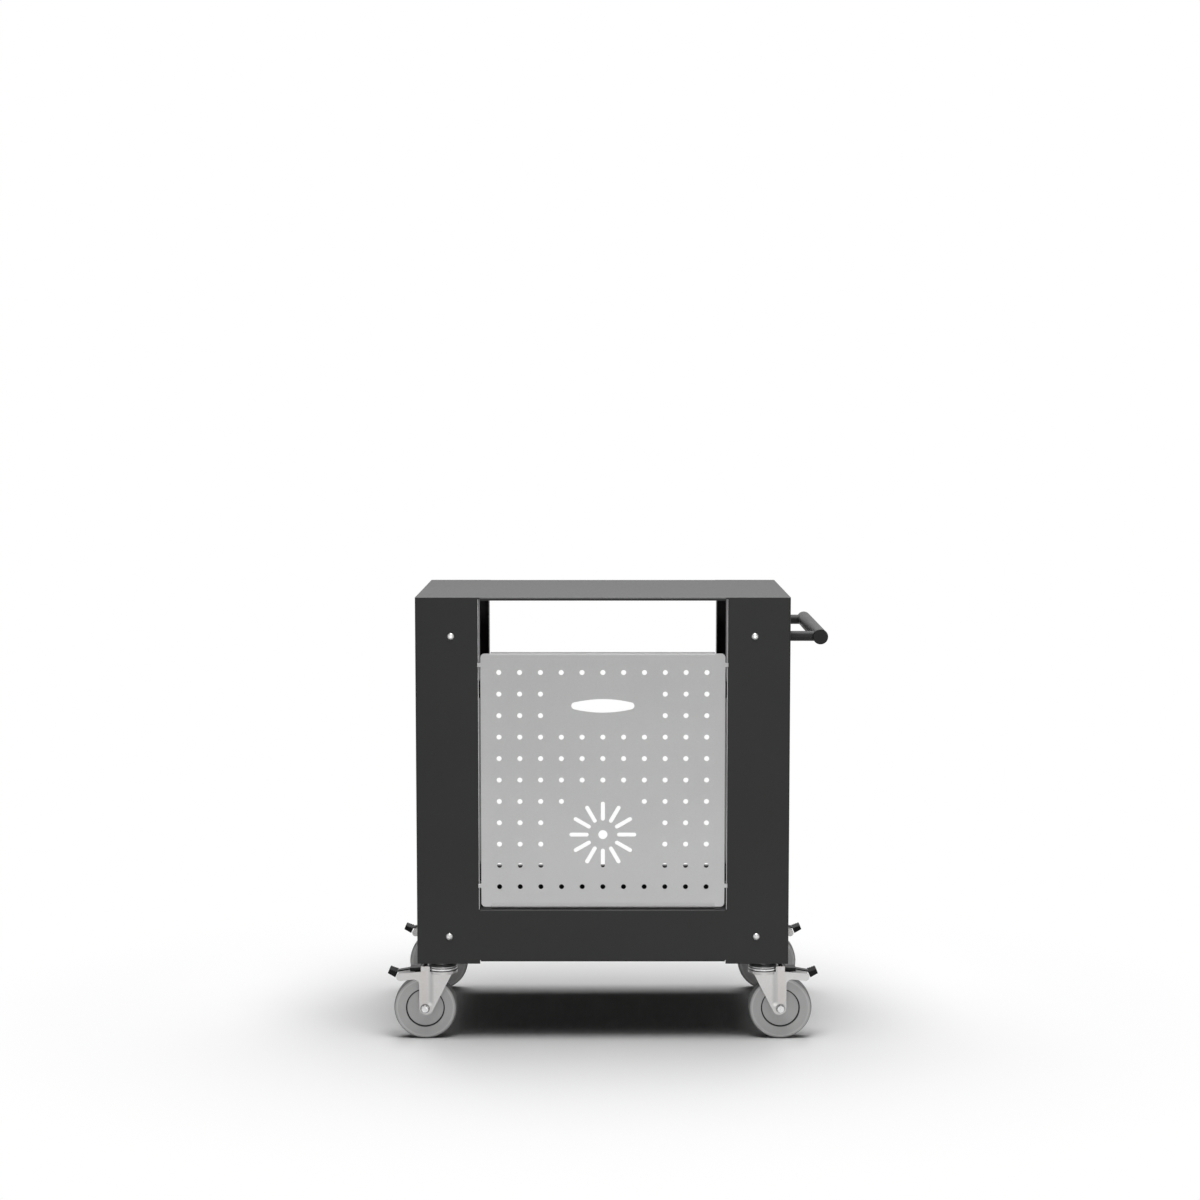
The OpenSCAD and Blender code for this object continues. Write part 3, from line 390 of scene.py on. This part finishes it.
def headZinc(corner, foot):
    steel = Finish(corner + "_headZinc", Metallic=1.0)
    z = steel.axes(steel.placed((0, 0, foot)))[2]
    cloud = steel.noise(*headLook["cloud"])
    grain = steel.noise(*headLook["grain"], steel.placed(scale=headLook["streak"]))
    tone = headLook["tone"]
    dark, pale = [grey(tone * share, warm) for share, warm in (headLook["dark"], headLook["pale"])]
    mix = cloud * headLook["cloudShare"] + grain * headLook["grainShare"]
    plate = steel.colour(mix, dark, pale)
    # painted highlights: bright bands on the rolled rims
    for height in headLook["rims"]:
        rimHighlight = steel.smooth((z - height).size(), *headLook["rimEdge"])
        rimHighlight = rimHighlight * (cloud * headLook["cloudShare"] + headLook["rimLeast"])
        plate = steel.colour(rimHighlight, plate, grey(headLook["rimHighlightTone"]))
    # painted shade: a near-black line in the groove between the two sheets
    seam = steel.smooth((z - headLook["seamAt"]).size(), *headLook["seamEdge"])
    plate = steel.colour(seam * headLook["seamShare"], plate, grey(headLook["seamShadeTone"]))
    steel.set("Base Color", plate)
    dull = headLook["roughness"] + grain * headLook["grainDull"] + seam * headLook["seamDull"]
    steel.set("Roughness", dull)
    groove = steel.bump(seam * -1.0, headLook["seamBump"])
    steel.set("Normal", steel.bump(grain, headLook["grainBump"], groove))
    return steel.material


tyreLook = {"tone": 0.56, "rings": 260.0, "roughness": 0.64}
hubLook = {"tone": 0.54, "rings": 420.0, "roughness": 0.42}
wheelSkin = {
    "dark": (0.86, 0.0),
    "pale": (1.14, 0.01),
    "grain": (900.0, 2.0),
    "grainShare": 0.25,
    "scuff": (85.0, 4.0, 0.65),
    "scuffShare": 0.3,
    "scuffDull": 0.16,
    "wearEdge": (0.052, 0.0625),  # radii between which the scuffs grow
    "ringShare": 0.15,
    "relief": (0.5, 0.3),  # heights of rings and grain
    "bump": (0.18, 0.0004),
    "shoulderR": 0.0562,  # the tyre's shoulder, painted paler as a highlight
    "shoulderWidth": 0.0022,
    "shoulderHighlightPale": 1.35,
    "shoulderShare": 0.5,
    "treadEdge": (0.0594, 0.0612),  # the tread, painted darker as shade where it turns away, with dirt in the scuffs
    "treadScuff": 0.5,
    "treadShare": 0.45,
    "treadShadeTone": 0.09,
    "jointR": 0.0375,  # the groove between tyre and hub, painted dark as shade
    "jointEdge": (0.0019, 0.0009),
    "jointShadeTone": 0.006,
}


def wheelRubber(name, look, axle):
    # rings about the axle from the mould, a fine grain, scuffs near the tread
    rubber = Finish(name, Metallic=0.0)
    x, _, z = rubber.axes(rubber.placed(axle))
    far = (x * x + z * z).root()
    spread = rubber.add("ShaderNodeCombineXYZ", {}, {0: far, 1: 0.0, 2: 0.0})
    rings = rubber.add("ShaderNodeTexWave", {"wave_type": "BANDS", "bands_direction": "X"}, {
        "Vector": spread.outputs[0], "Scale": look["rings"], "Distortion": 0.0})
    ring = Signal(rubber, rings.outputs["Fac"])
    grain = rubber.noise(*wheelSkin["grain"])
    scuff = rubber.noise(*wheelSkin["scuff"])
    wear = rubber.smooth(far, *wheelSkin["wearEdge"]) * scuff
    mix = grain * wheelSkin["grainShare"] + scuff * wheelSkin["scuffShare"]
    mix = mix + wear * wheelSkin["scuffShare"] + ring * wheelSkin["ringShare"]
    tone = look["tone"]
    dark, pale = [grey(tone * share, warm) for share, warm in (wheelSkin["dark"], wheelSkin["pale"])]
    skin = rubber.colour(mix, dark, pale)
    # painted highlight: a paler ring on the shoulder
    shoulder = rubber.smooth((far - wheelSkin["shoulderR"]).size(), wheelSkin["shoulderWidth"], 0.0)
    shoulderHighlightTone = grey(tone * wheelSkin["shoulderHighlightPale"])
    skin = rubber.colour(shoulder * wheelSkin["shoulderShare"], skin, shoulderHighlightTone)
    # painted shade on the tread, broken up by scuffs of dirt
    tread = rubber.smooth(far, *wheelSkin["treadEdge"])
    tread = tread * (scuff * wheelSkin["treadScuff"] + wheelSkin["treadShare"])
    skin = rubber.colour(tread, skin, grey(wheelSkin["treadShadeTone"]))
    # painted shade: a near-black ring in the groove between tyre and hub
    joint = rubber.smooth((far - wheelSkin["jointR"]).size(), *wheelSkin["jointEdge"])
    rubber.set("Base Color", rubber.colour(joint, skin, grey(wheelSkin["jointShadeTone"])))
    rubber.set("Roughness", look["roughness"] + scuff * wheelSkin["scuffDull"])
    ringHeight, grainHeight = wheelSkin["relief"]
    rubber.set("Normal", rubber.bump(ring * ringHeight + grain * grainHeight, wheelSkin["bump"]))
    return rubber.material


capLook = {"tone": 0.01, "roughness": 0.36, "gloss": 0.2}
pedalLook = {"tone": 0.007, "roughness": 0.39, "gloss": 0.14}
plasticSkin = {
    "dark": 0.8,  # shares of the tone
    "pale": 1.25,
    "cloud": (60.0, 3.0),
    "grain": (1400.0, 2.0),
    "grainDull": 0.12,
    "grainBump": (0.2, 0.0002),
    "ior": 1.46,
}


def mouldedPlastic(name, look):
    plastic = Finish(name, Metallic=0.0, IOR=plasticSkin["ior"], Specular_IOR_Level=look["gloss"])
    grain = plastic.noise(*plasticSkin["grain"])
    cloud = plastic.noise(*plasticSkin["cloud"])
    dark, pale = [grey(look["tone"] * plasticSkin[end]) for end in ("dark", "pale")]
    plastic.set("Base Color", plastic.colour(cloud, dark, pale))
    plastic.set("Roughness", look["roughness"] + grain * plasticSkin["grainDull"])
    plastic.set("Normal", plastic.bump(grain, plasticSkin["grainBump"]))
    return plastic.material


darkCoat = powderCoat("darkPowderCoat", frameLook)
frontCoat = powderCoat("frontFrameCoat", frameLook, paintedEdgeHighlights)
lightCoat = powderCoat("lightPowderCoat", panelLook)
zincPlate = platedSteel("zincPlate", nutLook)
brightSteel = platedSteel("brightSteel", screwLook)
greaseAndShadeSteel = platedSteel("greaseAndShadeSteel", ballLook)
leverCoat = powderCoat("leverBlackCoat", leverLook)
capPlastic = mouldedPlastic("capPlastic", capLook)
pedalPlastic = mouldedPlastic("pedalPlastic", pedalLook)
finishOf = {
    "front_frame": frontCoat, "frame_screws": brightSteel, "handle_screws": brightSteel,
    "frame_nuts": zincPlate, "worktop_nuts": zincPlate, "caster_washers": zincPlate,
    "caster_nuts": zincPlate, "caster_balls": greaseAndShadeSteel, "front_panel": lightCoat,
    "panel_catches": capPlastic, "handle_cap_front": capPlastic, "handle_cap_rear": capPlastic}
for corner in corners:
    hubLow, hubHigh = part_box(corner + "_hub")
    axle = (hubLow + hubHigh) / 2
    inward = 1 if axle.x < tableX else -1
    finishOf.update({
        corner + "_tyre": wheelRubber(corner + "_tyreRubber", tyreLook, axle),
        corner + "_hub": wheelRubber(corner + "_hubNylon", hubLook, axle),
        corner + "_fork": forkZinc(corner, axle, inward),
        corner + "_axle_bolt": boltSteel(corner, axle),
        corner + "_head": headZinc(corner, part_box(corner + "_head")[0].z),
        corner + "_king_pin": zincPlate, corner + "_brake_pin": zincPlate,
        corner + "_brake_lever": leverCoat, corner + "_brake_pedal": pedalPlastic})
for name, node in nodes.items():
    node.data.materials.clear()
    node.data.materials.append(finishOf.get(name, darkCoat))
print("finishes made:", len(bpy.data.materials))


floorLook = {
    "width": 60,  # metres
    "tone": 0.85,
    "cloud": (0.7, 2.0),
    "darkShare": 0.985,  # of the tone, in the darker patches
    "roughness": 0.9,
    "white": (0.38, 1.1),  # metres from the origin where it starts to melt into white and is white
    "sideways": 0.6,  # the white begins further out to the sides
}


def studioFloor():
    bpy.ops.object.select_all(action="DESELECT")
    bpy.ops.mesh.primitive_plane_add(size=1, location=(0, 0, 0))
    floor = bpy.context.object
    floor.name = "studioFloor"
    bpy.ops.object.mode_set(mode="EDIT")
    bpy.ops.mesh.select_all(action="SELECT")
    bpy.ops.transform.resize(value=(floorLook["width"], floorLook["width"], 1))
    bpy.ops.object.mode_set(mode="OBJECT")
    paint = Finish("floorPaint", Roughness=floorLook["roughness"], Specular_IOR_Level=0.0)
    tone = floorLook["tone"]
    cloud = paint.noise(*floorLook["cloud"])
    paint.set("Base Color", paint.colour(cloud, grey(tone * floorLook["darkShare"]), grey(tone)))
    x, y, _ = paint.axes()
    far = (x * x * floorLook["sideways"] + y * y).root()
    away = paint.smooth(far, *floorLook["white"])
    white = paint.add("ShaderNodeEmission", {}, {"Color": grey(1.0), "Strength": 1.0})
    melt = paint.add("ShaderNodeMixShader", {}, {
        0: away * paint.sightRays(), 1: paint.shader.outputs[0], 2: white.outputs[0]})
    paint.link(paint.tree.nodes["Material Output"].inputs["Surface"], melt.outputs[0])
    floor.data.materials.append(paint.material)


skyLook = {
    "low": 0.0,  # light from the horizon
    "top": 1.5,  # light from above
    "edge": (0.78, 0.98),  # heights in the sky, 0 to 1
}


def studioWorld():
    # soft light from above only; the eye and mirrors see plain white
    world = bpy.data.worlds.new("studioWorld")
    bpy.context.scene.world = world
    world.use_nodes = True
    sky = NodeBench(world.node_tree)
    sky.tree.nodes.clear()
    ways = sky.add("ShaderNodeTexCoord").outputs["Generated"]
    height = sky.add("ShaderNodeSeparateXYZ", {}, {0: ways}).outputs["Z"]
    rise = sky.smooth(height, *skyLook["edge"], skyLook["low"], skyLook["top"])
    light = sky.add("ShaderNodeBackground", {}, {"Color": grey(1.0), "Strength": rise})
    seen = sky.add("ShaderNodeBackground", {}, {"Color": grey(1.0), "Strength": 1.0})
    both = sky.add("ShaderNodeMixShader", {}, {
        0: sky.sightRays(), 1: light.outputs[0], 2: seen.outputs[0]})
    sky.add("ShaderNodeOutputWorld", {}, {0: both.outputs[0]})


# Each lamp: its place, what it points at, its two sides and its power in watts
lampLook = {
    "topLamp": ((0.0, 0.8, 2.9), (0, 0, 0), (2.2, 1.6), 50.0),
    "keyLamp": ((0.15, -0.6, 3.4), (0, 0, 0.4), (1.3, 1.3), 56.0),
    "fillLamp": ((0.6, -6.0, 0.4), (0, 0, 0.4), (3.0, 0.4), 36.0),
}


def softLamp(name, place, aim, sides, power):
    data = bpy.data.lights.new(name, "AREA")
    data.shape = "RECTANGLE"
    data.size, data.size_y = sides
    data.energy = power
    lamp = bpy.data.objects.new(name, data)
    bpy.context.scene.collection.objects.link(lamp)
    lamp.location = place
    lamp.rotation_euler = (Vector(aim) - Vector(place)).to_track_quat("-Z", "Y").to_euler()
    lamp.visible_camera = False


studioFloor()
studioWorld()
for name, settings in lampLook.items():
    softLamp(name, *settings)

view = {
    "focal": 1.8816667,  # focal length and shift as shares of the picture's width
    "shift": -0.002375,
    "tilt": 5.06,  # degrees down
    "height": 1.2713,
    "distance": 4.404,  # from the legs' front face
    "sensor": 36.0,
    "clipEnd": 200.0,
}
cameraData = bpy.data.cameras.new("photoCamera")
cameraData.sensor_width = view["sensor"]
cameraData.lens = view["sensor"] * view["focal"]
cameraData.shift_x = view["shift"]
cameraData.clip_end = view["clipEnd"]
camera = bpy.data.objects.new("photoCamera", cameraData)
bpy.context.scene.collection.objects.link(camera)
camera.location = (tableX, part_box("front_frame")[0].y - view["distance"], view["height"])
camera.rotation_euler = (math.radians(90 - view["tilt"]), 0, 0)
bpy.context.scene.camera = camera
bpy.context.scene.view_settings.view_transform = "Standard"
print("studio ready")
